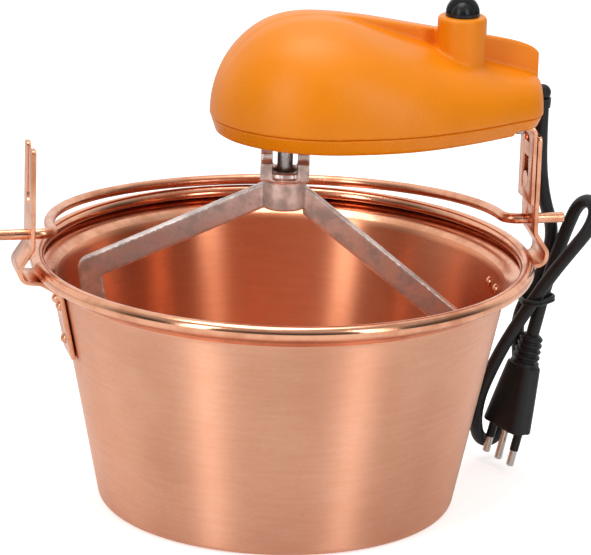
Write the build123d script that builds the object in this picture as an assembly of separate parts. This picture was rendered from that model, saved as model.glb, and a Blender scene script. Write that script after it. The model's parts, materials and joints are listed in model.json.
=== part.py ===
from build123d import *
from math import atan2, cos, degrees, hypot, pi, radians, sin, sqrt, tan
import os

# Electric polenta maker: a tapered copper kettle with a wired rim, two riveted ear straps and a
# bail handle, and a motor head that hangs from one ear and turns a cast paddle in the kettle.
# Millimetres. Origin at the centre of the kettle's base, +Z up, +X towards the ear that carries
# the motor head. Everything below hangs on these sizes.

# Kettle
base_radius = 92.0
wall_radius = 115.8
wall_height = 118.0
sheet = 1.5
base_corner = 5.0
flare_corner = 7.0
flare_reach = 10.4
flare_rise = 11.0
lip_inset = 2.6
bead_radius = 3.8
wire_radius = 2.2
wire_gap = 0.05
seam_width = 0.6
seam_angle = 262

# Gaps between pieces
rest_gap = 0.3
seat_gap = 0.05
running = 0.06

# Ear straps
strap_width = 25.0
strap_sheet = 2.2
strap_gap = 0.1
strap_drop = 35.0
ear_rise = 64.3
ear_round = 1.8
loop_reach = 10.7
loop_rise = 2.3
shoulder_rise = 12.2
fork_width = 9.5
fork_depth = 30.05
rivet_radius = 2.0
rivet_head_radius = 2.8
rivet_head_height = 2.2
rivet_upper = 27.5
rivet_lower = 8.0
rivet_spread = 6.5

# Bail
rod_radius = 2.75
pivot_rise = 17.5
bail_inset = 7.7
bail_leg = 9.0
bail_bend = 8.0
tip_reach = 19.2
tip_round = 0.6
pin_clearance = 0.075

# Motor head
head_rise = 12.2
plan_centre = 22.8
plan_half_length = 62.0
plan_half_width = 53.5
dome_centre = 8.8
dome_rise = 52.4
arch_power = 2.3
nose_angles = [3, 9, 18, 30, 45, 62, 78]
least_step = 0.006
head_wall = 2.5
ridge_y = 1.0
cover_drop = 9.0
cover_inset = 0.4
cover_taper = 18.0
cover_round = 3.0
seam_gap = 0.15

# Stations along the tapering rear of the head: x, half width, high rise and low rise
stations = [
    (22.8, 53.5, 51.8, 51.3),
    (44.0, 52.9, 49.0, 45.0),
    (64.0, 49.2, 45.4, 38.2),
    (84.0, 42.0, 42.0, 32.2),
    (104.0, 32.7, 38.8, 25.6),
    (117.0, 25.6, 36.4, 22.0),
    (126.5, 20.3, 33.6, 19.4),
    (130.3, 16.5, 31.6, 17.8),
    (132.4, 11.0, 29.0, 15.8),
]

# Screws and posts of the head
front_screw_x = 2.0
front_screw_spread = 40.5
rear_screw_back = 19.2
rear_screw_spread = 15.0
front_post_angle = 133.0
post_clearance = 0.9
rear_post_x = 66.0
rear_post_spread = 26.0
plate_margin = 6.0
screw_radius = 1.5
screw_head_radius = 2.9
screw_boss_radius = 3.6
screw_bite = 10.0
post_radius = 3.0

# Bracket that hangs the head on an ear, and its keeper
bracket_sheet = 2.0
bracket_bend = 4.0
bracket_tail = 6.25
bracket_foot = 15.3
bracket_screw_radius = 1.8
bracket_screw_spread = 7.0
bracket_screw_back = 8.3
keeper_sheet = 1.2
keeper_radius = 6.3
neck_clearance = 0.35
neck_drop = 4.8

# Switch
boss_x = 88.8
boss_y = -6.0
boss_radius = 12.6
boss_rise = 51.5
boss_round = 1.8
spindle_radius = 3.0
spindle_length = 9.0
knob_radius = 8.7
knob_skirt = 1.6
knob_lift = 1.4
grip_width = 4.6
switch_height = 13.0
tag_length = 5.0
tag_spread = 5.0

# Drive
module = 1.0
tooth_rise = 0.75
tooth_fall = 1.15
output_teeth = 48
idler_small_teeth = 12
idler_big_teeth = 42
pinion_teeth = 12
shaft_radius = 4.0
axle_radius = 2.0
gear_lift = 9.5
small_gear_width = 9.5
big_gear_width = 5.5
output_gear_width = 7.0
gear_hub_radius = 8.0
pinion_width = 7.0
plate_sheet = 2.0
shaft_drop = 43.5
shaft_rise = 3.0
bush_radius = 7.0
bush_flange = 9.0
bush_boss = 10.0
seal_radius = 6.5
clip_sheet = 1.0
clip_depth = 0.8
clip_reach = 2.2
can_radius = 21.0
can_height = 14.5
can_wall = 1.0
rotor_radius = 12.0

# Paddle
paddle_turn = -12.5
hub_radius = 11.2
hub_drop = 5.0
hub_height = 20.0
lug_height = 14.0
lug_half = 12.5
lug_inner = 6.4
bar_height = 12.0
bar_thickness = 6.0
floor_clearance = 3.0
wall_clearance = 10.0
left_arm_inset = 16.8
left_arm_rise = 3.5
right_arm_inset = 17.3
right_arm_drop = 27.0
arm_root = 2.0
left_root_rise = 6.8
right_root_rise = 5.2
cross_pin_radius = 1.5
cross_pin_rise = 9.5
pin_inset = 1.5

# Cord exit, terminal block and clamp
cord_radius = 3.5
exit_y = 12.0
exit_rise = 5.5
elbow_radius = 3.4
elbow_reach = 6.2
elbow_drop = 8.0
elbow_bend = 4.6
elbow_collar = 5.2
tie_wire = 0.9
tie_turns = 2
clamp_back = 7.8
clamp_length = 6.0
clamp_width = 11.0
terminal_length = 14.0
terminal_width = 18.0
terminal_height = 9.0

# Heights and places worked out from the sizes above
rim_radius = wall_radius + flare_reach
rim_height = wall_height + flare_rise
strap_foot = wall_height - strap_drop
ear_face = rim_radius + bead_radius + rest_gap
ear_top = rim_height + ear_rise
fork_bottom = ear_top - fork_depth
bail_pivot_height = rim_height + pivot_rise
bail_radius = rim_radius - bail_inset
bail_tip = ear_face + tip_reach
seam_height = ear_top + head_rise
boss_top = seam_height + boss_rise
cover_floor = seam_height - cover_drop
floor_inside = cover_floor + head_wall
step_floor = cover_floor + bracket_sheet + 0.5
pad_top = seam_height - 3.0
bracket_bore_top = pad_top - 0.8
leg_face = ear_face - rest_gap - 0.2 - bracket_sheet
bracket_start = leg_face + bracket_sheet - bracket_foot
clamp_x = leg_face - clamp_back
neck_radius = fork_width / 2 - neck_clearance
neck_height = fork_bottom + rest_gap + neck_radius
window_top = ear_top - neck_drop
idler_floor = seam_height + gear_lift
idler_step = idler_floor + small_gear_width
idler_top = idler_step + big_gear_width
output_gear_floor = idler_floor + 1.0
pinion_floor = idler_step - 0.5
pinion_top = pinion_floor + pinion_width
plate_floor = pinion_top + 0.5
plate_top = plate_floor + plate_sheet
shaft_end = seam_height - shaft_drop
cross_pin_height = shaft_end + cross_pin_rise
hub_floor = shaft_end - hub_drop
hub_top = hub_floor + hub_height
lug_base = hub_top - 4.0
lug_top = lug_base + lug_height
idler_x = module * (output_teeth + idler_small_teeth) / 2
motor_x = idler_x + module * (idler_big_teeth + pinion_teeth) / 2
wall_slope = (wall_radius - base_radius) / wall_height
wall_tilt = degrees(atan2(wall_radius - base_radius, wall_height))
rear_x = stations[-1][0]
rear_screw_x = boss_x + rear_screw_back
screw_places = [(x, side * y) for x, y in ((front_screw_x, front_screw_spread), (rear_screw_x, rear_screw_spread))
                for side in (1, -1)]
front_post_reach = module * (output_teeth / 2 + tooth_rise) + post_radius + post_clearance
front_post_x = front_post_reach * cos(radians(front_post_angle))
front_post_spread = front_post_reach * sin(radians(front_post_angle))
post_places = [(x, side * y) for x, y in ((front_post_x, front_post_spread), (rear_post_x, rear_post_spread))
               for side in (1, -1)]
elbow_x = rear_x + elbow_reach
exit_z = seam_height + exit_rise
mouth_z = exit_z - elbow_drop


def wall_at(height):
    """Outer radius of the kettle's tapered wall at a height."""
    return base_radius + wall_slope * height


def disc(radius, low, high, x=0.0, y=0.0):
    """Upright cylinder between two heights."""
    return Pos(x, y, (low + high) / 2) * Cylinder(radius, high - low)


def block(low, high):
    """Box between two corners."""
    size = [b - a for a, b in zip(low, high)]
    middle = [(a + b) / 2 for a, b in zip(low, high)]
    return Pos(*middle) * Box(*size)


def ring(outer, inner, low, high, x=0.0, y=0.0):
    """Upright tube between two heights."""
    return disc(outer, low, high, x, y) - disc(inner, low - 1, high + 1, x, y)


def crosswise(radius, length, x, y, z):
    """Cylinder along X about a centre point."""
    return Pos(x, y, z) * Rot(0, 90, 0) * Cylinder(radius, length)


def strip(points, radii, thickness, side):
    """Closed face between a filleted line and its offset, drawn in a local XY plane."""
    line = Wire(FilletPolyline(*points, radius=radii).edges())
    return make_face(line.offset_2d(thickness, side=side).edges())


# Kettle

def kettle_pan():
    """Spun wall, flared lip and the sheet rolled round the rim wire."""
    outline = [(0, 0), (base_radius, 0), (wall_radius, wall_height),
               (rim_radius - lip_inset, rim_height - lip_inset / 2)]
    wall = strip(outline, [base_corner, flare_corner], sheet, Side.LEFT)
    hollow = wire_radius + wire_gap
    seam = Pos((hollow + bead_radius) / 2, 0) * Rectangle(bead_radius - hollow + 1, seam_width)
    bead = Circle(bead_radius) - Circle(hollow) - Rot(0, 0, seam_angle) * seam
    section = Plane.XZ * (wall + Pos(rim_radius, rim_height) * bead)
    pan = revolve(section, Axis.Z, 360)
    for side in (0, 180):
        for z, y in rivet_spots():
            pan -= Rot(0, 0, side) * rivet_frame(z, y) * Cylinder(rivet_radius + seat_gap, 12)
    return pan


def rim_wire():
    return Pos(0, 0, rim_height) * Torus(rim_radius, wire_radius)


def rivet_spots():
    """Height and sideways place of the rivets in the right-hand strap."""
    upper = strap_foot + rivet_upper
    return [(upper, rivet_spread), (upper, -rivet_spread), (strap_foot + rivet_lower, 0.0)]


def rivet_frame(z, y):
    """Frame on the wall with its Z axis along a rivet."""
    return Pos(wall_at(z), y, z) * Rot(0, 90 + wall_tilt, 0)


def ear_strap():
    """Copper strap: riveted foot, loop round the rim bead and an open fork at the top."""
    foot = (wall_at(strap_foot) + strap_gap, strap_foot)
    knee = (wall_at(wall_height) + strap_gap, wall_height)
    under = (rim_radius + 0.3, rim_height - bead_radius - 0.6)
    loop = (rim_radius + loop_reach, rim_height + loop_rise)
    points = [foot, knee, under, (loop[0] - 0.5, under[1] + 1.0), loop,
              (ear_face, rim_height + shoulder_rise), (ear_face, ear_top)]
    face = strip(points, [5.0, 8.0, 4.0, 3.5, 7.0], strap_sheet, Side.RIGHT)
    strap = extrude(Plane.XZ * face, strap_width / 2, both=True)
    fork_radius = fork_width / 2
    fork_centre = fork_bottom + fork_radius
    reach = 15.0
    strap -= block((ear_face - reach, -fork_radius, fork_centre), (ear_face + reach, fork_radius, ear_top + 1))
    strap -= crosswise(fork_radius, 2 * reach, ear_face, 0, fork_centre)
    strap -= crosswise(rod_radius + pin_clearance, 2 * reach, ear_face, 0, bail_pivot_height)
    for z, y in rivet_spots():
        strap -= rivet_frame(z, y) * Cylinder(rivet_radius + seat_gap, 12)
    tips = strap.edges().filter_by(Axis.X).group_by(Axis.Z)[-1]
    return fillet(tips, ear_round)


def rivet_head(height, rise):
    """Domed head standing on a plane at a height, upwards or downwards."""
    radius = (rivet_head_radius ** 2 + rise ** 2) / (2 * rise)
    dome = Pos(0, 0, rise - radius) * Sphere(radius)
    dome &= Pos(0, 0, radius) * Box(4 * radius, 4 * radius, 2 * radius)
    return Pos(0, 0, height) * dome


def ear_rivets():
    """Three rivets with a domed head on the strap and one inside the wall."""
    rivets = []
    for z, y in rivet_spots():
        outer = strap_sheet + strap_gap + 0.02
        curve = (abs(y) + rivet_head_radius) ** 2 / (2 * wall_at(z))
        inner = sheet + curve + seat_gap
        shank = Pos(0, 0, (outer - inner) / 2) * Cylinder(rivet_radius, outer + inner)
        front = rivet_head(outer, rivet_head_height)
        back = Rot(180, 0, 0) * rivet_head(inner, rivet_head_height * 0.7)
        rivets.append(rivet_frame(z, y) * (shank + front + back))
    return Compound(rivets)


def bail_handle():
    """Copper rod bent to a bow, its ends turned out through the two ears."""
    legs = [(bail_tip, 0), (bail_radius, 0), (bail_radius, bail_leg)]
    right = FilletPolyline(*legs, radius=bail_bend)
    left = mirror(right, Plane.YZ)
    bow = CenterArc((0, bail_leg), bail_radius, 0, 180)
    path = Wire(list(right.edges()) + [bow.edge()] + list(left.edges()))
    start = Plane(origin=(bail_tip, 0, 0), z_dir=(-1, 0, 0))
    rod = sweep(start * Circle(rod_radius), path=path)
    ends = rod.faces().sort_by(Axis.X)
    rod = fillet(ends[0].edges() + ends[-1].edges(), tip_round)
    crown = bail_leg + bail_radius
    reach = bead_radius + rod_radius + rest_gap
    lift = sqrt(reach ** 2 - (crown - rim_radius) ** 2)
    slope = degrees(atan2(bail_pivot_height - rim_height - lift, crown))
    return Pos(0, 0, bail_pivot_height) * Rot(-slope, 0, 0) * rod


# Motor head

def quarter_arch(reach, rise, steps=6):
    """Points of a superellipse quarter from the seam plane up to the crown."""
    points = []
    for i in range(steps + 1):
        angle = pi / 2 * i / steps
        across = reach * cos(angle) ** (2 / arch_power) if i < steps else 0.0
        points.append((across, rise * sin(angle) ** (2 / arch_power)))
    return points


def nose_stations():
    """Stations round the nose: x, half width, high rise and low rise."""
    rows = []
    for angle in nose_angles:
        x = plan_centre - plan_half_length * cos(radians(angle))
        before = min(1.0, (dome_centre - x) / (dome_centre - plan_centre + plan_half_length))
        rise = dome_rise * sqrt(1 - before ** 2)
        rows.append((x, plan_half_width * sin(radians(angle)), rise, rise * (1 - least_step)))
    return rows


def head_stations(inset):
    """All stations, drawn in by an inset towards the middle of the head."""
    rows = nose_stations() + stations
    first, last = rows[0][0], rows[-1][0]
    drawn = []
    for x, width, high, low in rows:
        share = (x - first) / (last - first)
        narrow = inset * min(1.0, width / (2 * inset)) if inset else 0.0
        lower = inset * min(1.0, low / (2 * inset)) if inset else 0.0
        drawn.append((x + inset * (1 - 2 * share), width - narrow, high - lower, low - lower))
    return drawn


def head_section(x, width, high, low, ridge):
    """Section of the head: low arch, ridge wall, high arch and the seam line."""
    near = [(ridge - y, z) for y, z in quarter_arch(width + ridge, low)]
    far = [(ridge + y, z) for y, z in reversed(quarter_arch(width - ridge, high))]
    near_arch = Spline(*near, tangents=[(0, 1), (1, 0)])
    wall = Line(near[-1], far[0])
    far_arch = Spline(*far, tangents=[(1, 0), (0, -1)])
    base = Line(far[-1], near[0])
    plane = Plane(origin=(x, 0, seam_height), x_dir=(0, 1, 0), z_dir=(1, 0, 0))
    return plane * make_face([near_arch.edge(), wall.edge(), far_arch.edge(), base.edge()])


def head_form(inset):
    """Head with its low near side, high far side and switch boss."""
    faces = []
    for x, width, high, low in head_stations(inset):
        ridge = (ridge_y + inset) * min(1.0, width / 20)
        faces.append(head_section(x, width, high, low, ridge))
    boss = disc(boss_radius - inset, seam_height + 15, boss_top - inset, boss_x, boss_y)
    if inset == 0:
        boss = fillet(boss.edges().group_by(Axis.Z)[-1], boss_round)
    return loft(faces) + boss


def head_shell():
    """Hollow upper shell with screw bosses, the switch bore and the cord exit."""
    outer = head_form(0.0)
    shell = outer - head_form(head_wall)
    for x, y in screw_places:
        shell += disc(screw_boss_radius, seam_height, seam_height + dome_rise, x, y) & outer
    for x, y in screw_places:
        shell -= disc(screw_radius, seam_height - 1, seam_height + screw_bite + 2, x, y)
    shell -= disc(spindle_radius + running, boss_top - 20, boss_top + 1, boss_x, boss_y)
    return shell - crosswise(elbow_radius + seat_gap, 4 * head_wall, rear_x - head_wall, exit_y, exit_z)


def plan_face(inset):
    """Outline of the head at the seam."""
    side = [(x, width) for x, width, high, low in head_stations(inset)]
    tip = (side[0][0] - 0.1, 0.0)
    outline = Spline(*reversed(side), tip, *[(x, -y) for x, y in side])
    end = Line(outline @ 1, outline @ 0)
    return make_face([outline.edge(), end.edge()])


def tray_form(top, bottom, inset):
    """Solid between the seam outline and a narrower outline below it."""
    draft = (top - bottom) * tan(radians(cover_taper))
    return loft([Pos(0, 0, bottom) * plan_face(inset + draft), Pos(0, 0, top) * plan_face(inset)])


def bracket_screw_places():
    x = leg_face + bracket_sheet - bracket_screw_back
    return [(x, -bracket_screw_spread), (x, bracket_screw_spread)]


def head_cover():
    """Shallow tray under the head with a step for the bracket, a bush boss and an axle boss."""
    top = seam_height - seam_gap
    tray = tray_form(top, cover_floor, cover_inset)
    tray = fillet(tray.edges().group_by(Axis.Z)[0], cover_round)
    pocket = tray_form(seam_height, floor_inside, head_wall + 2 * cover_inset)
    wide = 2 * plan_half_width
    step = block((bracket_start, -wide, cover_floor - 1), (2 * rear_x, wide, step_floor))
    pad = block((bracket_start - 2, -strap_width / 2 - 0.5, step_floor), (leg_face + 1, strap_width / 2 + 0.5, pad_top))
    inside = tray_form(seam_height, cover_floor, head_wall)
    cover = tray - pocket - step + (pad & inside)
    cover += disc(bush_boss, floor_inside - 1, seam_height - 0.5)
    cover += disc(2 * axle_radius, floor_inside - 1, idler_floor - rest_gap, idler_x)
    for x, y in screw_places:
        cover += disc(screw_boss_radius + 0.9, floor_inside - 1, top, x, y) & tray
    for x, y in screw_places:
        cover -= disc(screw_head_radius + rest_gap, cover_floor - 1, cover_floor + 2.2, x, y)
        cover -= disc(screw_radius, cover_floor - 1, seam_height + 1, x, y)
    for x, y in post_places:
        cover -= disc(screw_radius, cover_floor - 1, floor_inside + 1, x, y)
    cover -= disc(bush_radius, cover_floor - 1, seam_height + 0.5)
    cover -= disc(axle_radius, floor_inside + 1, idler_floor + 1, idler_x)
    for x, y in bracket_screw_places():
        cover -= disc(bracket_screw_radius, cover_floor, bracket_bore_top, x, y)
    return cover


def motor_bracket():
    """Copper angle: a leg screwed under the cover and a leg with a window beside the ear."""
    outer = leg_face + bracket_sheet
    points = [(bracket_start + 0.2, step_floor), (outer, step_floor), (outer, fork_bottom - bracket_tail)]
    face = strip(points, [bracket_bend], bracket_sheet, Side.RIGHT)
    leg = extrude(Plane.XZ * face, strap_width / 2, both=True)
    through = 4 * bracket_sheet
    leg -= block((leg_face - through, -neck_radius, neck_height), (leg_face + through, neck_radius, window_top))
    for z in (neck_height, window_top):
        leg -= crosswise(neck_radius, 2 * through, leg_face, 0, z)
    for x, y in bracket_screw_places():
        leg -= disc(bracket_screw_radius + 0.2, step_floor - through, step_floor + 1, x, y)
    return leg


def bracket_keeper():
    """Stamped keeper behind the ear, joined to the bracket by two necks in the open fork."""
    face = ear_face + strap_sheet + rest_gap
    middle = face + keeper_sheet / 2
    keeper_top = window_top - 2.5
    plate = block((face, -keeper_radius, neck_height), (face + keeper_sheet, keeper_radius, keeper_top))
    plate += crosswise(neck_radius, keeper_sheet, middle, 0, neck_height)
    plate += crosswise(keeper_radius, keeper_sheet, middle, 0, keeper_top)
    stud = crosswise(neck_radius, face - leg_face, (leg_face + face) / 2, 0, neck_height)
    upper = block((leg_face, -neck_radius, window_top - 7.5), (face, neck_radius, window_top))
    return plate + stud + upper


def bracket_screws():
    top = step_floor - bracket_sheet
    screws = []
    for x, y in bracket_screw_places():
        head = disc(2 * bracket_screw_radius, top - 2.4, top, x, y)
        head = fillet(head.edges().group_by(Axis.Z)[0], 0.9)
        screws.append(head + disc(bracket_screw_radius, top - 1, bracket_bore_top - rest_gap, x, y))
    return Compound(screws)


def cover_screws():
    screws = []
    for x, y in screw_places:
        head = disc(screw_head_radius, cover_floor + 0.4, cover_floor + 2.2, x, y)
        screws.append(head + disc(screw_radius, cover_floor + 2, seam_height + screw_bite, x, y))
    return Compound(screws)


def selector_knob():
    """Domed knob with a raised grip bar, on its spindle."""
    floor = boss_top + rest_gap
    centre = floor + knob_lift
    ball = Pos(boss_x, boss_y, centre) * Sphere(knob_radius)
    lobe = Pos(boss_x, boss_y, centre - 0.6) * Sphere(knob_radius - 1.6)
    turn = Pos(boss_x, boss_y, centre) * Rot(0, 0, paddle_turn)
    grip = ball & (turn * Box(4 * knob_radius, grip_width, 4 * knob_radius))
    skirt = disc(knob_radius, floor, floor + knob_skirt, boss_x, boss_y)
    above = disc(2 * knob_radius, floor, floor + 3 * knob_radius, boss_x, boss_y)
    knob = ((grip + lobe) & above) + skirt
    return knob + disc(spindle_radius, boss_top - spindle_length, floor + 2, boss_x, boss_y)


def switch_body():
    """Round rotary switch under the boss with three tags."""
    top = boss_top - head_wall
    low = top - switch_height
    body = disc(boss_radius - head_wall - 0.4, low, top, boss_x, boss_y)
    body -= disc(spindle_radius + running, boss_top - spindle_length - 2, top + 1, boss_x, boss_y)
    for y in (-tag_spread, 0.0, tag_spread):
        body += block((boss_x - 2, boss_y + y - 0.4, low - tag_length), (boss_x + 2, boss_y + y + 0.4, low))
    return body


# Drive

def spur_gear(teeth, width, phase):
    """Spur gear with straight-flanked teeth and backlash; a tooth points along the phase angle."""
    pitch = module * teeth / 2
    root = pitch - tooth_fall * module
    tip = pitch + tooth_rise * module
    flank = pi / (2 * teeth)
    points = []
    for i in range(teeth):
        middle = radians(phase) + 2 * pi * i / teeth
        for radius, share in ((root, -1.3), (tip, -0.42), (tip, 0.42), (root, 1.3)):
            angle = middle + share * flank
            points.append((radius * cos(angle), radius * sin(angle)))
    return extrude(make_face(Polyline(*points, close=True)), width)


def output_shaft():
    """Shaft with a cross bore near its lower end and a clip groove above the gear plate."""
    shaft = disc(shaft_radius, shaft_end, plate_top + shaft_rise)
    bore = Rot(0, 0, paddle_turn) * Rot(0, 90, 0) * Cylinder(cross_pin_radius, 20)
    shaft -= Pos(0, 0, cross_pin_height) * bore
    groove = plate_top + rest_gap
    return shaft - ring(shaft_radius + 1, shaft_radius - clip_depth, groove, groove + clip_sheet)


def output_gear():
    """Large gear on the shaft; one tooth points at the idler."""
    gear = Pos(0, 0, output_gear_floor) * spur_gear(output_teeth, output_gear_width, 0)
    gear += disc(gear_hub_radius, output_gear_floor - 4, output_gear_floor + 1)
    return gear - disc(shaft_radius, output_gear_floor - 5, output_gear_floor + output_gear_width + 1)


def idler_gear():
    """Double gear: the small wheel has a gap towards the shaft, the big one a tooth towards the motor."""
    small = spur_gear(idler_small_teeth, idler_step - idler_floor, 180 + 180 / idler_small_teeth)
    big = spur_gear(idler_big_teeth, idler_top - idler_step, 0)
    gear = Pos(idler_x, 0, idler_floor) * small + Pos(idler_x, 0, idler_step) * big
    return gear - disc(axle_radius + running, idler_floor - 1, idler_top + 1, idler_x)


def idler_axle():
    return disc(axle_radius, floor_inside + 1, plate_top, idler_x)


def motor_rotor():
    """Magnet rotor, its shaft and the pinion."""
    rotor = disc(rotor_radius, floor_inside + can_wall + 2, floor_inside + can_height - 3, motor_x)
    rotor += disc(axle_radius, floor_inside + 0.6, plate_top - 0.9, motor_x)
    pinion = spur_gear(pinion_teeth, pinion_top - pinion_floor, 180 + 180 / pinion_teeth)
    return rotor + Pos(motor_x, 0, pinion_floor) * pinion


def motor_can():
    """Pressed steel can of the low-speed motor, open only at its two bearing holes."""
    low = floor_inside
    can = disc(can_radius, low, low + can_height, motor_x)
    can -= disc(can_radius - can_wall, low + can_wall, low + can_height - can_wall, motor_x)
    return can - disc(axle_radius + running, low - 1, low + can_height + 1, motor_x)


def stator_coil():
    low = floor_inside + can_wall
    return ring(can_radius - can_wall, rotor_radius + 1, low, low + can_height - 2 * can_wall, motor_x)


def gear_plate():
    """Upper bearing plate on four posts, its outline a margin outside the posts."""
    front, back = front_post_x - plate_margin, rear_post_x + plate_margin
    narrow, wide = front_post_spread + plate_margin, rear_post_spread + plate_margin
    bevel = 2 * plate_margin
    half = [(front, narrow - bevel), (front + bevel, narrow), (back, wide)]
    corners = half + [(x, -y) for x, y in reversed(half)]
    plate = extrude(make_face(Polyline(*corners, close=True)), plate_sheet)
    plate = Pos(0, 0, plate_floor) * plate & head_form(head_wall + 0.6)
    bores = [(0, shaft_radius + running), (idler_x, axle_radius), (motor_x, axle_radius + running)]
    for x, radius in bores:
        plate -= disc(radius, plate_floor - 1, plate_top + 1, x)
    for x, y in post_places:
        plate -= disc(screw_radius, plate_floor - 1, plate_top + 1, x, y)
    return plate


def gear_posts():
    posts = [disc(post_radius, floor_inside, plate_floor, x, y) for x, y in post_places]
    studs = [disc(screw_radius, cover_floor + 0.8, plate_top, x, y) for x, y in post_places]
    return Compound([post + stud for post, stud in zip(posts, studs)])


def shaft_bush():
    bush = disc(bush_radius, cover_floor - 1, seam_height + 0.5)
    bush += disc(bush_flange, cover_floor - 2.5, cover_floor)
    return bush - disc(shaft_radius + running, cover_floor - 4, seam_height + 2)


def shaft_seal():
    return ring(seal_radius, shaft_radius + running, cover_floor - 4.0, cover_floor - 2.5)


def shaft_circlip():
    low = plate_top + rest_gap
    clip = ring(shaft_radius + clip_reach, shaft_radius - clip_depth, low, low + clip_sheet)
    return clip - block((0, -1.2, low - 1), (10, 1.2, low + 2))


def cross_pin():
    place = Pos(0, 0, cross_pin_height) * Rot(0, 0, paddle_turn) * Rot(0, 90, 0)
    return place * Cylinder(cross_pin_radius, 2 * (hub_radius - pin_inset))


def paddle_bar(a, b):
    """Flat bar of the paddle between two centre points, with round ends."""
    (xa, za), (xb, zb) = a, b
    bar = SlotCenterToCenter(hypot(xb - xa, zb - za), bar_height)
    angle = degrees(atan2(zb - za, xb - xa))
    return Pos((xa + xb) / 2, (za + zb) / 2) * Rot(0, 0, angle) * bar


def paddle():
    """Cast paddle: hub with bayonet lugs and a frame that sweeps wall and floor."""
    low = sheet + floor_clearance + bar_height / 2
    reach = base_radius - wall_clearance
    root = hub_radius - arm_root
    corners = [(-root, hub_floor + left_root_rise), (left_arm_inset - wall_radius, wall_height + left_arm_rise),
               (-reach, low), (reach, low), (wall_radius - right_arm_inset, wall_height - right_arm_drop),
               (root, hub_floor + right_root_rise)]
    frame = paddle_bar(corners[0], corners[1])
    for a, b in zip(corners[1:], corners[2:]):
        frame += paddle_bar(a, b)
    frame = extrude(Plane.XZ * frame, bar_thickness / 2, both=True)
    frame -= disc(hub_radius - 1, hub_floor - 20, lug_top)
    lugs = block((-lug_half, -lug_half, lug_base), (lug_half, lug_half, lug_top))
    lugs -= block((-lug_inner, -lug_half - 1, lug_base + 1), (lug_inner, lug_half + 1, lug_top + 1))
    step = lug_base + 10
    for low_y, high_y in ((-lug_half - 1, -7.5), (7.5, lug_half + 1)):
        lugs -= block((-lug_half - 1, low_y, step), (lug_half + 1, high_y, lug_top + 1))
    pin_half = cross_pin_radius + 0.1
    pin_reach = hub_radius - pin_inset + 0.2
    entry = block((-pin_reach, -pin_half, cross_pin_height - pin_half), (pin_reach, pin_half, lug_top + 1))
    body = disc(hub_radius, hub_floor, hub_top) + lugs - entry
    body -= disc(shaft_radius + pin_clearance, hub_floor - 1, lug_top + 1)
    body -= disc(lug_inner, lug_base, lug_top + 1)
    return Rot(0, 0, paddle_turn) * (body + frame)


# Inside electrics

def terminal_block():
    """Three-way terminal block on the cover's floor."""
    right = bracket_start - 3.5
    low = floor_inside + seat_gap
    body = block((right - terminal_length, -terminal_width / 2, low), (right, terminal_width / 2, low + terminal_height))
    for y in (-tag_spread, 0.0, tag_spread):
        body -= disc(1.6, low + 3, low + terminal_height + 1, right - terminal_length / 2, y)
    return body


def cord_clamp():
    """Saddle that grips the cord inside the shell, behind its exit."""
    right = clamp_x
    low = pad_top + seat_gap
    half = clamp_width / 2
    saddle = block((right - clamp_length, exit_y - half, low), (right, exit_y + half, exit_z + half))
    return saddle - crosswise(elbow_radius + seat_gap, 2 * clamp_length, right, exit_y, exit_z)


def cord_elbow():
    """Right-angle strain relief on the rear face, mouth downwards."""
    start = clamp_x - clamp_length - 2.0
    points = [(start, exit_y, exit_z), (elbow_x, exit_y, exit_z), (elbow_x, exit_y, mouth_z)]
    path = FilletPolyline(*points, radius=elbow_bend)
    tube = sweep(Plane(origin=points[0], z_dir=(1, 0, 0)) * Circle(elbow_radius), path=path)
    collar = crosswise(elbow_collar, 1.4, rear_x + 0.8, exit_y, exit_z)
    sleeve = Pos(elbow_x, exit_y, mouth_z + 2.5) * Cone(4.2, 4.5, 5.0)
    knuckle = Pos(elbow_x - 0.2, exit_y, exit_z - 0.2) * Sphere(4.4)
    return tube + collar + sleeve + knuckle


# Cord and plug

cord_route = [
    (138.6, 12.0, 203.0), (138.6, 12.0, 187.0), (140.4, 15.0, 167.0), (145.5, 22.0, 148.5),
    (152.6, 30.8, 133.5), (153.6, 34.6, 119.5), (149.4, 34.0, 106.5), (140.9, 29.2, 95.5),
    (136.0, 30.3, 82.0), (139.3, 38.0, 64.5), (142.2, 43.9, 46.0), (141.6, 48.3, 28.0),
    (136.0, 48.0, 14.5), (128.0, 45.0, 8.0), (119.8, 39.5, 12.5), (115.3, 30.5, 26.0),
    (116.0, 26.5, 41.0), (120.5, 24.0, 55.0), (126.0, 22.0, 68.5), (132.0, 20.0, 80.5),
    (139.0, 19.3, 92.0), (145.5, 17.3, 103.5), (152.0, 13.0, 115.5), (158.5, 8.0, 127.0),
    (164.8, 4.0, 137.5), (168.6, 4.5, 147.5), (167.6, 13.0, 152.0), (163.5, 21.5, 147.0),
    (160.0, 25.0, 135.0), (155.8, 25.8, 122.0), (151.5, 25.0, 109.5), (147.9, 24.0, 97.5),
    (145.15, 23.1, 86.0), (142.8, 23.6, 75.0),
]
plug_row = (0.46, -0.88, -0.14)
plug_length = 36.0
plug_width = 27.0
plug_depth = 15.5
relief_length = 17.0
relief_radius = 6.2
rib_count = 5
rib_pitch = 3.4
pin_length = 19.0
pin_radius = 2.0
pin_spacing = 9.5
pin_sleeve = 0.35
sleeve_length = 10.0
tie_spots = [(141.4, 29.9), (140.9, 18.7), (147.5, 23.9)]
tie_slack = 1.35
tie_height = 94.5


def corner_radii(route):
    """Largest arc at each corner that both of its runs allow."""
    radii = []
    for a, b, c in zip(route, route[1:], route[2:]):
        first = Vector(*b) - Vector(*a)
        second = Vector(*c) - Vector(*b)
        turn = radians(first.get_angle(second))
        radii.append(0.45 * min(first.length, second.length) / tan(turn / 2))
    return radii


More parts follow.
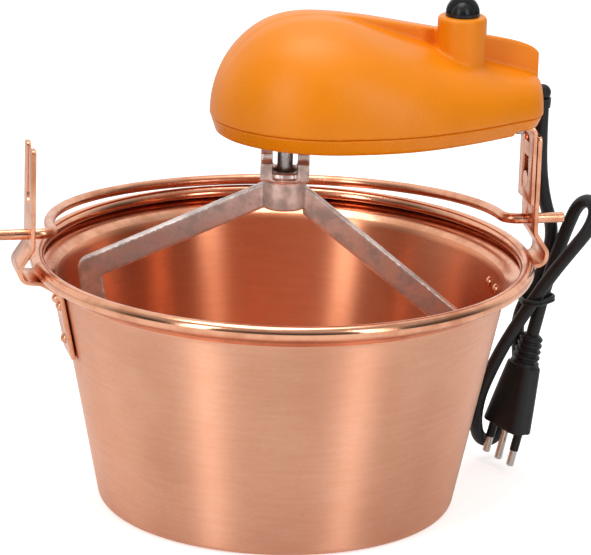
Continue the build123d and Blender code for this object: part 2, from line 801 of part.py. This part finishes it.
def power_cord():
    radii = corner_radii(cord_route)
    print("cord radii", [round(r, 1) for r in radii])
    path = FilletPolyline(*cord_route, radius=radii)
    start = Plane(origin=cord_route[0], z_dir=Vector(*cord_route[1]) - Vector(*cord_route[0]))
    tube = sweep(start * Circle(cord_radius), path=path)
    print("cord length", round(path.length, 1), "volume ratio", tube.volume / (path.length * pi * cord_radius ** 2))
    return tube


def cord_tie():
    """Wire wound round the three strands of the hank."""
    reach = cord_radius + tie_wire + tie_slack
    outline = offset(make_face(Polyline(*tie_spots, close=True)), reach).wire()
    turns = []
    for i in range(tie_turns):
        path = Pos(0, 0, tie_height + i * (2 * tie_wire - 0.1)) * outline
        start = Plane(origin=path @ 0, z_dir=path % 0)
        turns.append(sweep(start * Circle(tie_wire), path=path, transition=Transition.RIGHT))
    return turns[0] + turns[1:]


def plug_frame():
    """Frame at the cord end of the plug: Z runs to the pins, X along the row of pins."""
    axis = (Vector(*cord_route[-1]) - Vector(*cord_route[-2])).normalized()
    row = Vector(*plug_row)
    row = (row - axis * row.dot(axis)).normalized()
    return Plane(origin=cord_route[-1], x_dir=row, z_dir=axis)


def plug_body():
    """Moulded plug: ribbed sleeve, waisted grip and flat pin face."""
    relief = Pos(0, 0, relief_length / 2) * Cone(relief_radius - 1.2, relief_radius, relief_length)
    for i in range(rib_count):
        relief += Pos(0, 0, 2.0 + rib_pitch * i) * Cylinder(relief_radius + 0.1 + 0.35 * i, rib_pitch / 2)
    neck = Pos(0, 0, relief_length) * RectangleRounded(plug_width - 10, plug_depth - 2.5, 4.0)
    waist = Pos(0, 0, relief_length + plug_length * 0.45) * RectangleRounded(plug_width - 5, plug_depth - 1.5, 4.5)
    face = Pos(0, 0, relief_length + plug_length) * RectangleRounded(plug_width, plug_depth, 5.0)
    return plug_frame() * (relief + loft([neck, waist, face]))


def plug_pins():
    face = relief_length + plug_length
    pins = []
    for i in (-1, 0, 1):
        pin = Pos(i * pin_spacing, 0, face + pin_length / 2) * Cylinder(pin_radius, pin_length)
        pins.append(fillet(pin.edges().group_by(Axis.Z)[-1], 0.9))
    return plug_frame() * Compound(pins)


def plug_sleeves():
    middle = relief_length + plug_length + sleeve_length / 2
    tube = Cylinder(pin_radius + pin_sleeve, sleeve_length) - Cylinder(pin_radius, sleeve_length + 2)
    return plug_frame() * Compound([Pos(i * pin_spacing, 0, middle) * tube for i in (-1, 1)])


def mirrored(make):
    """The same piece on the left-hand side of the kettle."""
    return mirror(make(), Plane.YZ)


parts = {
    "kettle_pan": kettle_pan,
    "rim_wire": rim_wire,
    "ear_strap_right": ear_strap,
    "ear_strap_left": lambda: mirrored(ear_strap),
    "ear_rivets_right": ear_rivets,
    "ear_rivets_left": lambda: mirrored(ear_rivets),
    "bail_handle": bail_handle,
    "head_shell": head_shell,
    "head_cover": head_cover,
    "motor_bracket": motor_bracket,
    "bracket_keeper": bracket_keeper,
    "bracket_screws": bracket_screws,
    "cover_screws": cover_screws,
    "selector_knob": selector_knob,
    "switch_body": switch_body,
    "output_shaft": output_shaft,
    "output_gear": output_gear,
    "idler_gear": idler_gear,
    "idler_axle": idler_axle,
    "motor_rotor": motor_rotor,
    "motor_can": motor_can,
    "stator_coil": stator_coil,
    "gear_plate": gear_plate,
    "gear_posts": gear_posts,
    "shaft_bush": shaft_bush,
    "shaft_seal": shaft_seal,
    "shaft_circlip": shaft_circlip,
    "cross_pin": cross_pin,
    "paddle": paddle,
    "terminal_block": terminal_block,
    "cord_clamp": cord_clamp,
    "cord_elbow": cord_elbow,
    "power_cord": power_cord,
    "cord_tie": cord_tie,
    "plug_body": plug_body,
    "plug_pins": plug_pins,
    "plug_sleeves": plug_sleeves,
}

os.makedirs("parts", exist_ok=True)
for name, make in parts.items():
    export_step(make(), f"parts/{name}.step")
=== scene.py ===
import json
import math

import bmesh
import bpy
from mathutils import Matrix, Vector

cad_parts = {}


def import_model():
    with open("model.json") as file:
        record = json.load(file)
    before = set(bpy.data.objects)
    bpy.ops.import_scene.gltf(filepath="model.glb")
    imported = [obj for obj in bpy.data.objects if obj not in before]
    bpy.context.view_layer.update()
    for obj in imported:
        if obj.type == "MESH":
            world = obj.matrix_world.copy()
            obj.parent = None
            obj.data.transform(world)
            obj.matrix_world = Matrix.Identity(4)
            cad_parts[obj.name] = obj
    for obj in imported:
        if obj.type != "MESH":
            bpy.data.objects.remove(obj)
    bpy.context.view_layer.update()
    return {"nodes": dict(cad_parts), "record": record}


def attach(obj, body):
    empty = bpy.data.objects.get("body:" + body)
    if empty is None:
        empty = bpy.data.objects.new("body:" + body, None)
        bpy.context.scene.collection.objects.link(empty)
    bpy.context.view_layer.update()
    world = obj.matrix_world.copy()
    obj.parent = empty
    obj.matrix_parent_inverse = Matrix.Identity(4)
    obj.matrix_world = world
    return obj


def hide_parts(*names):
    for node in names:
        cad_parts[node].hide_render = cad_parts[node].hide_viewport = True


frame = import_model()
nodes = frame["nodes"]

# Kettle, in metres, as its solid has it: the wall, the corners that are rounded, and the rolled bead
BASE_RADIUS = 0.092
WALL_RADIUS = 0.1158
WALL_HEIGHT = 0.118
SHEET = 0.0015
BASE_CORNER = 0.005
FLARE_CORNER = 0.007
RIM_RADIUS = 0.1262
RIM_HEIGHT = 0.129
LIP_INSET = 0.0026
BEAD_RADIUS = 0.0038
BEAD_SHEET = 0.0014
SEAM_START = 232
SEAM_END = SEAM_START + 330

# Steps that the kettle is turned and bent in
ROUND_STEPS = 320
WALL_STEPS = 12
BEAD_STEPS = 30
CORNER_STEPS = 8

# Camera of the photograph, with no shift
CAMERA_PLACE = (-0.4386, -1.9556, 0.7332)
CAMERA_TARGET = (0.0070, -0.0016, 0.1191)
CAMERA_ROLL = 1.828
CAMERA_LENS = 247.75
FILM_WIDTH = 36.0

# Soft boxes: place, width, height and power, all aimed at the middle of the kettle
SOFT_BOXES = {
    "key_left": ((-1.14, -0.97, 0.75), 0.34, 1.3, 7.4),
    "fill_right": ((0.73, -1.31, 0.75), 0.34, 1.3, 6.8),
    "top": ((-0.1, 0.1, 1.5), 1.0, 0.8, 9.5),
}
LIT_POINT = (0.0, 0.0, 0.12)

# Room: its level at eye height, at the ceiling and behind the object, and the floor's own glow
ROOM_LOW = 0.08
ROOM_CEILING = 0.60
ROOM_BEHIND = 0.36
FLOOR_GLOW = 0.62
FLOOR_IN_METAL = 0.18
FLOOR_RADIUS = 6.0
FLOOR_DROP = 0.0005

# Cord: its route from the strain relief to the plug
CORD_RADIUS = 0.0035
CORD_ROUTE = [
    (0.1386, 0.0120, 0.2030), (0.1386, 0.0120, 0.1870), (0.1404, 0.0150, 0.1670), (0.1455, 0.0220, 0.1485),
    (0.1526, 0.0308, 0.1335), (0.1536, 0.0346, 0.1195), (0.1494, 0.0340, 0.1065), (0.1409, 0.0292, 0.0955),
    (0.1360, 0.0303, 0.0820), (0.1393, 0.0380, 0.0645), (0.1422, 0.0439, 0.0460), (0.1416, 0.0483, 0.0280),
    (0.1360, 0.0480, 0.0145), (0.1280, 0.0450, 0.0080), (0.1198, 0.0395, 0.0125), (0.1153, 0.0305, 0.0260),
    (0.1160, 0.0265, 0.0410), (0.1205, 0.0240, 0.0550), (0.1260, 0.0220, 0.0685), (0.1320, 0.0200, 0.0805),
    (0.1390, 0.0193, 0.0920), (0.1455, 0.0173, 0.1035), (0.1520, 0.0130, 0.1155), (0.1585, 0.0080, 0.1270),
    (0.1648, 0.0040, 0.1375), (0.1686, 0.0045, 0.1475), (0.1676, 0.0130, 0.1520), (0.1635, 0.0215, 0.1470),
    (0.1600, 0.0250, 0.1350), (0.1558, 0.0258, 0.1220), (0.1515, 0.0250, 0.1095), (0.1479, 0.0240, 0.0975),
    (0.14515, 0.0231, 0.0860), (0.1428, 0.0236, 0.0750),
]


# Shader helpers

class Shader:
    """A material under construction: short calls that add nodes and link them."""

    def __init__(self, name):
        self.material = bpy.data.materials.new(name)
        self.material.use_nodes = True
        self.tree = self.material.node_tree
        self.tree.nodes.clear()
        self.output = self.tree.nodes.new("ShaderNodeOutputMaterial")
        self.body = self.tree.nodes.new("ShaderNodeBsdfPrincipled")
        self.link(self.body.outputs[0], self.output.inputs["Surface"])

    def link(self, source, target):
        self.tree.links.new(source, target)

    def put(self, value, socket):
        """Sets a socket to a number or colour, or links it to another node's output."""
        if isinstance(value, bpy.types.NodeSocket):
            self.link(value, socket)
        elif isinstance(value, (tuple, list)) and socket.type == "RGBA":
            socket.default_value = (*value[:3], 1.0)
        else:
            socket.default_value = value

    def set(self, **values):
        for name, value in values.items():
            self.put(value, self.body.inputs[name.replace("_", " ")])

    def point(self):
        """The point on the piece, in metres, in the object's own frame."""
        return self.tree.nodes.new("ShaderNodeTexCoord").outputs["Object"]

    def split(self, vector):
        return self.node("ShaderNodeSeparateXYZ", [vector]).outputs

    def join(self, x, y, z):
        return self.node("ShaderNodeCombineXYZ", [x, y, z]).outputs[0]

    def node(self, kind, inputs, **settings):
        made = self.tree.nodes.new(kind)
        for key, value in settings.items():
            setattr(made, key, value)
        for value, socket in zip(inputs, made.inputs):
            if value is not None:
                self.put(value, socket)
        return made

    def math(self, operation, a, b=None):
        made = self.tree.nodes.new("ShaderNodeMath")
        made.operation = operation
        self.put(a, made.inputs[0])
        if b is not None:
            self.put(b, made.inputs[1])
        return made.outputs[0]

    def noise(self, vector, scale, detail=2.0, roughness=0.5):
        made = self.tree.nodes.new("ShaderNodeTexNoise")
        self.put(vector, made.inputs["Vector"])
        made.inputs["Scale"].default_value = scale
        made.inputs["Detail"].default_value = detail
        made.inputs["Roughness"].default_value = roughness
        return made.outputs["Fac"]

    def stretch(self, vector, scale):
        made = self.tree.nodes.new("ShaderNodeVectorMath")
        made.operation = "MULTIPLY"
        self.put(vector, made.inputs[0])
        made.inputs[1].default_value = scale
        return made.outputs[0]

    def remap(self, value, low, high, to_low=0.0, to_high=1.0):
        made = self.tree.nodes.new("ShaderNodeMapRange")
        made.interpolation_type = "SMOOTHSTEP"
        self.put(value, made.inputs["Value"])
        made.inputs["From Min"].default_value = low
        made.inputs["From Max"].default_value = high
        made.inputs["To Min"].default_value = to_low
        made.inputs["To Max"].default_value = to_high
        return made.outputs["Result"]

    def blend(self, share, a, b):
        made = self.tree.nodes.new("ShaderNodeMix")
        made.data_type = "RGBA"
        self.put(share, made.inputs["Factor"])
        self.put(a, made.inputs[6])
        self.put(b, made.inputs[7])
        return made.outputs[2]

    def bump(self, height, strength, distance):
        made = self.tree.nodes.new("ShaderNodeBump")
        self.put(height, made.inputs["Height"])
        made.inputs["Strength"].default_value = strength
        made.inputs["Distance"].default_value = distance
        return made.outputs[0]

    def turned(self, point):
        """Radius, angle and height of a point, for what is turned about the kettle's axis."""
        x, y, z = self.split(point)
        squares = self.math("ADD", self.math("MULTIPLY", x, x), self.math("MULTIPLY", y, y))
        return self.math("SQRT", squares), self.math("ARCTAN2", y, x), z


# Finishes

COPPER_LIGHT = (0.92, 0.51, 0.35)
COPPER_DEEP = (0.78, 0.34, 0.19)
INSIDE_LIGHT = (0.88, 0.39, 0.22)
INSIDE_DEEP = (0.72, 0.25, 0.11)
# Copper of the rim, straps and bail: deeper and redder than the kettle's, as painted shade for the darker
# surroundings these pieces reflect; the second tone is for rubbed stains and is darkened the same way
SHADED_SHEET_COPPER = (0.86, 0.43, 0.27)
SHADED_RUBBED_STAIN = (0.58, 0.22, 0.11)
ORANGE = (0.92, 0.262, 0.002)
BLACK = (0.012, 0.012, 0.013)
CAST_LIGHT = (0.82, 0.71, 0.66)
CAST_DARK = (0.54, 0.46, 0.42)


def spun_copper(name, light, deep, roughness):
    """Copper spun on a lathe: fine rings round the axis, soft tarnish and handling marks."""
    s = Shader(name)
    point = s.point()
    radius, angle, height = s.turned(point)
    around = s.math("MULTIPLY", angle, 0.012)
    fine = s.noise(s.join(around, 0.0, height), 2600.0, 3.0, 0.6)
    broad = s.noise(s.join(around, 0.0, height), 420.0, 2.0, 0.5)
    stain = s.noise(point, 16.0, 2.0, 0.5)
    patch = s.remap(stain, 0.38, 0.72)
    rings = s.math("ADD", s.math("MULTIPLY", fine, 0.6), s.math("MULTIPLY", broad, 0.4))
    tone = s.blend(s.remap(rings, 0.3, 0.7, 0.0, 0.5), light, deep)
    tone = s.blend(s.math("MULTIPLY", patch, 0.35), tone, deep)
    rough = s.math("ADD", s.math("MULTIPLY", rings, 0.08), s.math("MULTIPLY", patch, 0.05))
    s.set(Base_Color=tone, Metallic=1.0, Roughness=s.math("ADD", rough, roughness - 0.06),
          Anisotropic=0.92, Anisotropic_Rotation=0.25)
    tangent = s.node("ShaderNodeTangent", [], direction_type="RADIAL", axis="Z")
    s.put(tangent.outputs[0], s.body.inputs["Tangent"])
    s.put(s.bump(rings, 0.05, 0.0001), s.body.inputs["Normal"])
    return s.material


def sheet_copper(name, low, high):
    """Rolled copper strap or rod: faint drawing lines, darker rubbed stains, and a base colour darkened as
    painted shade.
    """
    s = Shader(name)
    point = s.point()
    lines = s.noise(s.stretch(point, (900.0, 900.0, 60.0)), 1.0, 3.0, 0.6)
    stain = s.noise(point, 55.0, 4.0, 0.6)
    # Painted shade: both tones are darker than the kettle's copper; the stain mask adds the rubbed stains
    tone = s.blend(s.remap(stain, 0.40, 0.68, 0.0, 0.7), SHADED_SHEET_COPPER, SHADED_RUBBED_STAIN)
    rough = s.remap(stain, 0.35, 0.7, low, high)
    s.set(Base_Color=tone, Metallic=1.0, Roughness=rough)
    s.put(s.bump(lines, 0.10, 0.0002), s.body.inputs["Normal"])
    return s.material


def moulded(name, colour, roughness, grain, depth):
    """Moulded plastic with a spark-eroded grain and faint clouds."""
    s = Shader(name)
    point = s.point()
    pits = s.noise(point, grain, 3.0, 0.55)
    cloud = s.noise(point, 24.0, 2.0, 0.5)
    darker = tuple(c * 0.94 for c in colour)
    s.set(Base_Color=s.blend(s.remap(cloud, 0.35, 0.65), colour, darker),
          Roughness=s.remap(pits, 0.3, 0.7, roughness - 0.05, roughness + 0.06))
    s.body.inputs["Specular IOR Level"].default_value = 0.32
    s.put(s.bump(pits, depth, 0.0003), s.body.inputs["Normal"])
    return s.material


def cast_metal(name):
    """Sand-cast aluminium, tumbled: blotchy grey with a fine rough skin."""
    s = Shader(name)
    point = s.point()
    skin = s.noise(point, 900.0, 4.0, 0.65)
    blot = s.noise(point, 120.0, 3.0, 0.6)
    tone = s.blend(s.remap(blot, 0.35, 0.68), CAST_LIGHT, CAST_DARK)
    s.set(Base_Color=tone, Metallic=0.9, Roughness=s.remap(blot, 0.3, 0.7, 0.34, 0.52))
    s.put(s.bump(skin, 0.35, 0.0004), s.body.inputs["Normal"])
    return s.material


def plain_metal(name, colour, roughness):
    """Turned or plated metal with faint scratches."""
    s = Shader(name)
    point = s.point()
    marks = s.noise(s.stretch(point, (1500.0, 1500.0, 300.0)), 1.0, 2.0, 0.6)
    s.set(Base_Color=colour, Metallic=1.0,
          Roughness=s.remap(marks, 0.3, 0.7, roughness - 0.06, roughness + 0.08))
    s.put(s.bump(marks, 0.08, 0.0001), s.body.inputs["Normal"])
    return s.material


MATERIALS = {
    "outside": spun_copper("kettle_outside", COPPER_LIGHT, COPPER_DEEP, 0.44),
    "inside": spun_copper("kettle_inside", INSIDE_LIGHT, INSIDE_DEEP, 0.32),
    "rim": sheet_copper("rolled_rim", 0.12, 0.24),
    "strap": sheet_copper("strap_copper", 0.20, 0.36),
    "orange": moulded("orange_shell", ORANGE, 0.34, 1100.0, 0.55),
    "orange_smooth": moulded("orange_cover", ORANGE, 0.30, 900.0, 0.10),
    "black": moulded("black_plastic", BLACK, 0.30, 1200.0, 0.10),
    "cable": moulded("black_cord", BLACK, 0.42, 1600.0, 0.20),
    "white": moulded("natural_nylon", (0.70, 0.69, 0.64), 0.45, 900.0, 0.10),
    "cast": cast_metal("cast_aluminium"),
    "steel": plain_metal("turned_steel", (0.42, 0.41, 0.41), 0.28),
    "plated": plain_metal("plated_pins", (0.72, 0.69, 0.64), 0.20),
    "bronze": plain_metal("bush_bronze", (0.62, 0.42, 0.22), 0.35),
    "winding": plain_metal("winding_wire", (0.55, 0.22, 0.08), 0.40),
}

NODE_LOOKS = {
    "rim": ["kettle_pan", "rim_wire"],
    "strap": ["ear_strap_right", "ear_strap_left", "ear_rivets_right", "ear_rivets_left", "bail_handle",
              "motor_bracket", "bracket_keeper"],
    "orange": ["head_shell"],
    "orange_smooth": ["head_cover"],
    "black": ["selector_knob", "switch_body", "plug_sleeves"],
    "cable": ["cord_elbow", "power_cord", "plug_body", "cord_tie", "shaft_seal"],
    "white": ["output_gear", "idler_gear", "terminal_block", "cord_clamp"],
    "cast": ["paddle"],
    "steel": ["output_shaft", "cross_pin", "motor_rotor", "motor_can", "gear_plate", "gear_posts",
              "idler_axle", "shaft_circlip", "bracket_screws", "cover_screws"],
    "plated": ["plug_pins"],
    "bronze": ["shaft_bush"],
    "winding": ["stator_coil"],
}


def dress_nodes():
    """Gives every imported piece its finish."""
    for look, names in NODE_LOOKS.items():
        for name in names:
            for slot in nodes[name].material_slots:
                slot.material = MATERIALS[look]


def placed(name, data):
    """A new object, linked into the scene."""
    made = bpy.data.objects.new(name, data)
    bpy.context.scene.collection.objects.link(made)
    return made


def smooth(mesh):
    for face in mesh.polygons:
        face.use_smooth = True


# Kettle

def arc(centre, radius, start, end, steps):
    """Points of an arc in the profile's plane, from one angle to another in degrees."""
    points = []
    for i in range(steps + 1):
        angle = math.radians(start + (end - start) * i / steps)
        points.append((centre[0] + radius * math.cos(angle), centre[1] + radius * math.sin(angle)))
    return points


def fillet(a, corner, b, radius):
    """Points of the arc that rounds a corner of the profile."""
    to_a = (Vector(a) - Vector(corner)).normalized()
    to_b = (Vector(b) - Vector(corner)).normalized()
    half = to_a.angle(to_b) / 2
    reach = radius / math.tan(half)
    centre = Vector(corner) + (to_a + to_b).normalized() * radius / math.sin(half)
    start = Vector(corner) + to_a * reach - centre
    end = Vector(corner) + to_b * reach - centre
    points = []
    for i in range(CORNER_STEPS + 1):
        turn = start.lerp(end, i / CORNER_STEPS).normalized() * radius
        points.append(tuple(centre + turn))
    return points


def kettle_profile():
    """Outer line of the kettle, from the middle of its base to the lip under the bead."""
    base = (BASE_RADIUS, 0.0)
    knee = (WALL_RADIUS, WALL_HEIGHT)
    lip = (RIM_RADIUS - LIP_INSET, RIM_HEIGHT - LIP_INSET / 2)
    outer = [(0.0, 0.0), (0.03, 0.0), (0.06, 0.0)]
    outer += fillet((0.0, 0.0), base, knee, BASE_CORNER)
    wall = fillet(base, knee, lip, FLARE_CORNER)
    low = Vector(outer[-1])
    high = Vector(wall[0])
    outer += [tuple(low.lerp(high, i / WALL_STEPS)) for i in range(1, WALL_STEPS)] + wall
    return outer


def revolve(profile, name):
    """Turns a profile of radius and height points round the kettle's axis."""
    bm = bmesh.new()
    rings = []
    for radius, height in profile:
        if radius == 0.0:
            rings.append([bm.verts.new((0.0, 0.0, height))])
            continue
        ring = []
        for i in range(ROUND_STEPS):
            angle = 2 * math.pi * i / ROUND_STEPS
            ring.append(bm.verts.new((radius * math.cos(angle), radius * math.sin(angle), height)))
        rings.append(ring)
    for lower, upper in zip(rings, rings[1:]):
        for i in range(ROUND_STEPS):
            j = (i + 1) % ROUND_STEPS
            if len(lower) == 1:
                bm.faces.new((lower[0], upper[j], upper[i]))
            elif len(upper) == 1:
                bm.faces.new((lower[i], lower[j], upper[0]))
            else:
                bm.faces.new((lower[i], lower[j], upper[j], upper[i]))
    bmesh.ops.recalc_face_normals(bm, faces=bm.faces)
    mesh = bpy.data.meshes.new(name)
    bm.to_mesh(mesh)
    bm.free()
    smooth(mesh)
    return placed(name, mesh)


def offset_line(points, distance):
    """The same line moved sideways, towards its left."""
    moved = []
    for i, point in enumerate(points):
        before = Vector(points[max(i - 1, 0)])
        after = Vector(points[min(i + 1, len(points) - 1)])
        along = (after - before).normalized()
        moved.append((point[0] - along.y * distance, point[1] + along.x * distance))
    moved[0] = (0.0, points[0][1] + distance)
    return moved


def kettle():
    """Spun wall with an inside skin, and the sheet rolled round the rim wire."""
    outer = kettle_profile()
    inner = offset_line(outer, SHEET)
    centre = (RIM_RADIUS, RIM_HEIGHT)
    bead = arc(centre, BEAD_RADIUS, SEAM_START, SEAM_END, BEAD_STEPS)
    tail = arc(centre, BEAD_RADIUS - BEAD_SHEET, SEAM_END, SEAM_START, BEAD_STEPS)
    profile = outer + bead + tail[:-1] + list(reversed(inner))
    wall = revolve(profile, "kettle_wall")
    for look in ("outside", "inside", "rim"):
        wall.data.materials.append(MATERIALS[look])
    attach(wall, "kettle")
    outside_end = len(outer) - 2
    inside_start = len(outer) + len(bead) + len(tail) - 2
    for face in wall.data.polygons:
        ring = face.index // ROUND_STEPS
        if ring > inside_start:
            face.material_index = 1
        elif ring > outside_end:
            face.material_index = 2
    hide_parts("kettle_pan")


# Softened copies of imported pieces

def copied(node, name):
    """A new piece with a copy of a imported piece's mesh, welded."""
    mesh = nodes[node].data.copy()
    mesh.name = name
    bm = bmesh.new()
    bm.from_mesh(mesh)
    bmesh.ops.remove_doubles(bm, verts=bm.verts, dist=1e-6)
    bm.to_mesh(mesh)
    bm.free()
    mesh.materials.clear()
    return placed(name, mesh)


def body_of(node):
    groups = frame["record"]["behaviour"]["bodies"]
    return next(body for body, members in groups.items() if node in members)


def apply_modifiers(piece):
    graph = bpy.context.evaluated_depsgraph_get()
    mesh = bpy.data.meshes.new_from_object(piece.evaluated_get(graph))
    piece.modifiers.clear()
    piece.data = mesh


def stand_for(piece, node, look):
    """Lets a piece take the place, body and slot of a packed one."""
    piece.data.materials.clear()
    piece.data.materials.append(MATERIALS[look])
    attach(piece, body_of(node))
    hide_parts(node)


def softened(node, name, look, voxel, rounds):
    """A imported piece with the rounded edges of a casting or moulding."""
    piece = copied(node, name)
    remesh = piece.modifiers.new("remesh", "REMESH")
    remesh.mode = "VOXEL"
    remesh.voxel_size = voxel
    relax = piece.modifiers.new("relax", "SMOOTH")
    relax.factor = 0.5
    relax.iterations = rounds
    apply_modifiers(piece)
    smooth(piece.data)
    stand_for(piece, node, look)


def broken_edges(node, name, look, width):
    """A packed sheet piece with its sheared edges broken."""
    piece = copied(node, name)
    bm = bmesh.new()
    bm.from_mesh(piece.data)
    bmesh.ops.dissolve_limit(bm, angle_limit=math.radians(1.0), verts=bm.verts, edges=bm.edges)
    bm.to_mesh(piece.data)
    bm.free()
    bevel = piece.modifiers.new("bevel", "BEVEL")
    bevel.width = width
    bevel.segments = 2
    bevel.limit_method = "ANGLE"
    bevel.angle_limit = math.radians(35)
    apply_modifiers(piece)
    smooth(piece.data)
    stand_for(piece, node, look)


# Cord

def power_cord():
    """Round flex along its route, from the strain relief to the plug."""
    curve = bpy.data.curves.new("cord_line", "CURVE")
    curve.dimensions = "3D"
    curve.bevel_depth = CORD_RADIUS
    curve.bevel_resolution = 8
    curve.resolution_u = 16
    spline = curve.splines.new("NURBS")
    spline.points.add(len(CORD_ROUTE) - 1)
    for control, place in zip(spline.points, CORD_ROUTE):
        control.co = (*place, 1.0)
    spline.order_u = 3
    spline.use_endpoint_u = True
    curve.materials.append(MATERIALS["cable"])
    cord = placed("cord", curve)
    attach(cord, "motor_head")
    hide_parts("power_cord")


# Studio

def camera():
    data = bpy.data.cameras.new("camera")
    data.sensor_fit = "HORIZONTAL"
    data.sensor_width = FILM_WIDTH
    data.lens = CAMERA_LENS
    holder = placed("camera", data)
    aim = Vector(CAMERA_TARGET) - Vector(CAMERA_PLACE)
    turn = aim.to_track_quat("-Z", "Y").to_matrix() @ Matrix.Rotation(math.radians(CAMERA_ROLL), 3, "Z")
    holder.matrix_world = Matrix.Translation(CAMERA_PLACE) @ turn.to_4x4()
    bpy.context.scene.camera = holder


def floor():
    """Pale round floor, white to the camera apart from the soft shadow."""
    s = Shader("studio_floor")
    s.set(Base_Color=(0.86, 0.86, 0.86), Roughness=0.9)
    s.body.inputs["Specular IOR Level"].default_value = 0.0
    s.body.inputs["Emission Color"].default_value = (1.0, 1.0, 1.0, 1.0)
    bm = bmesh.new()
    bmesh.ops.create_circle(bm, cap_ends=True, segments=96, radius=FLOOR_RADIUS)
    mesh = bpy.data.meshes.new("floor")
    bm.to_mesh(mesh)
    bm.free()
    mesh.materials.append(s.material)
    ground = placed("floor", mesh)
    ground.location = (0.0, 0.0, -FLOOR_DROP)
    path = s.tree.nodes.new("ShaderNodeLightPath")
    in_metal = s.math("MULTIPLY", path.outputs["Is Glossy Ray"], FLOOR_IN_METAL)
    seen = s.math("ADD", path.outputs["Is Camera Ray"], in_metal)
    s.put(s.math("MULTIPLY", seen, FLOOR_GLOW), s.body.inputs["Emission Strength"])


def world():
    """White to the camera, and to metal behind the object; a dim room with a pale ceiling otherwise."""
    made = bpy.data.worlds.new("studio")
    made.use_nodes = True
    tree = made.node_tree
    background = tree.nodes["Background"]

    def ramp(source, low, high, to_low, to_high):
        node = tree.nodes.new("ShaderNodeMapRange")
        node.interpolation_type = "SMOOTHSTEP"
        tree.links.new(source, node.inputs["Value"])
        for name, value in (("From Min", low), ("From Max", high), ("To Min", to_low), ("To Max", to_high)):
            node.inputs[name].default_value = value
        return node.outputs["Result"]

    def join(operation, a, b):
        node = tree.nodes.new("ShaderNodeMath")
        node.operation = operation
        tree.links.new(a, node.inputs[0])
        tree.links.new(b, node.inputs[1])
        return node.outputs[0]

    direction = tree.nodes.new("ShaderNodeTexCoord").outputs["Generated"]
    axes = tree.nodes.new("ShaderNodeSeparateXYZ")
    tree.links.new(direction, axes.inputs[0])
    path = tree.nodes.new("ShaderNodeLightPath")
    behind = ramp(axes.outputs["Y"], -0.3, 0.5, 0.0, 1.0)
    ceiling = ramp(axes.outputs["Z"], 0.25, 0.9, ROOM_LOW, ROOM_CEILING)
    room = join("MAXIMUM", ceiling, ramp(behind, 0.0, 1.0, 0.0, ROOM_BEHIND))
    metal = join("MULTIPLY", path.outputs["Is Glossy Ray"], behind)
    seen = join("MAXIMUM", path.outputs["Is Camera Ray"], metal)
    tree.links.new(join("MAXIMUM", room, seen), background.inputs["Strength"])
    background.inputs["Color"].default_value = (1.0, 1.0, 1.0, 1.0)
    bpy.context.scene.world = made


def soft_box(name, place, width, height, power):
    """Oblong lamp aimed at the middle of the kettle."""
    light = bpy.data.lights.new(name, "AREA")
    light.shape = "RECTANGLE"
    light.size = width
    light.size_y = height
    light.energy = power
    holder = placed(name, light)
    aim = Vector(LIT_POINT) - Vector(place)
    holder.matrix_world = Matrix.Translation(place) @ aim.to_track_quat("-Z", "Y").to_matrix().to_4x4()


def studio():
    camera()
    floor()
    world()
    for name, (place, width, height, power) in SOFT_BOXES.items():
        soft_box(name, place, width, height, power)


dress_nodes()
kettle()
for name in ("ear_strap_right", "ear_strap_left", "motor_bracket"):
    broken_edges(name, "broken_edge_" + name, "strap", 0.0003)
softened("head_shell", "moulded_head", "orange", 0.0008, 4)
softened("head_cover", "moulded_cover", "orange_smooth", 0.0008, 3)
softened("paddle", "cast_paddle", "cast", 0.0007, 3)
softened("plug_body", "moulded_plug", "cable", 0.0006, 3)
power_cord()
studio()

scene = bpy.context.scene
scene.view_settings.view_transform = "Standard"
bpy.context.view_layer.update()
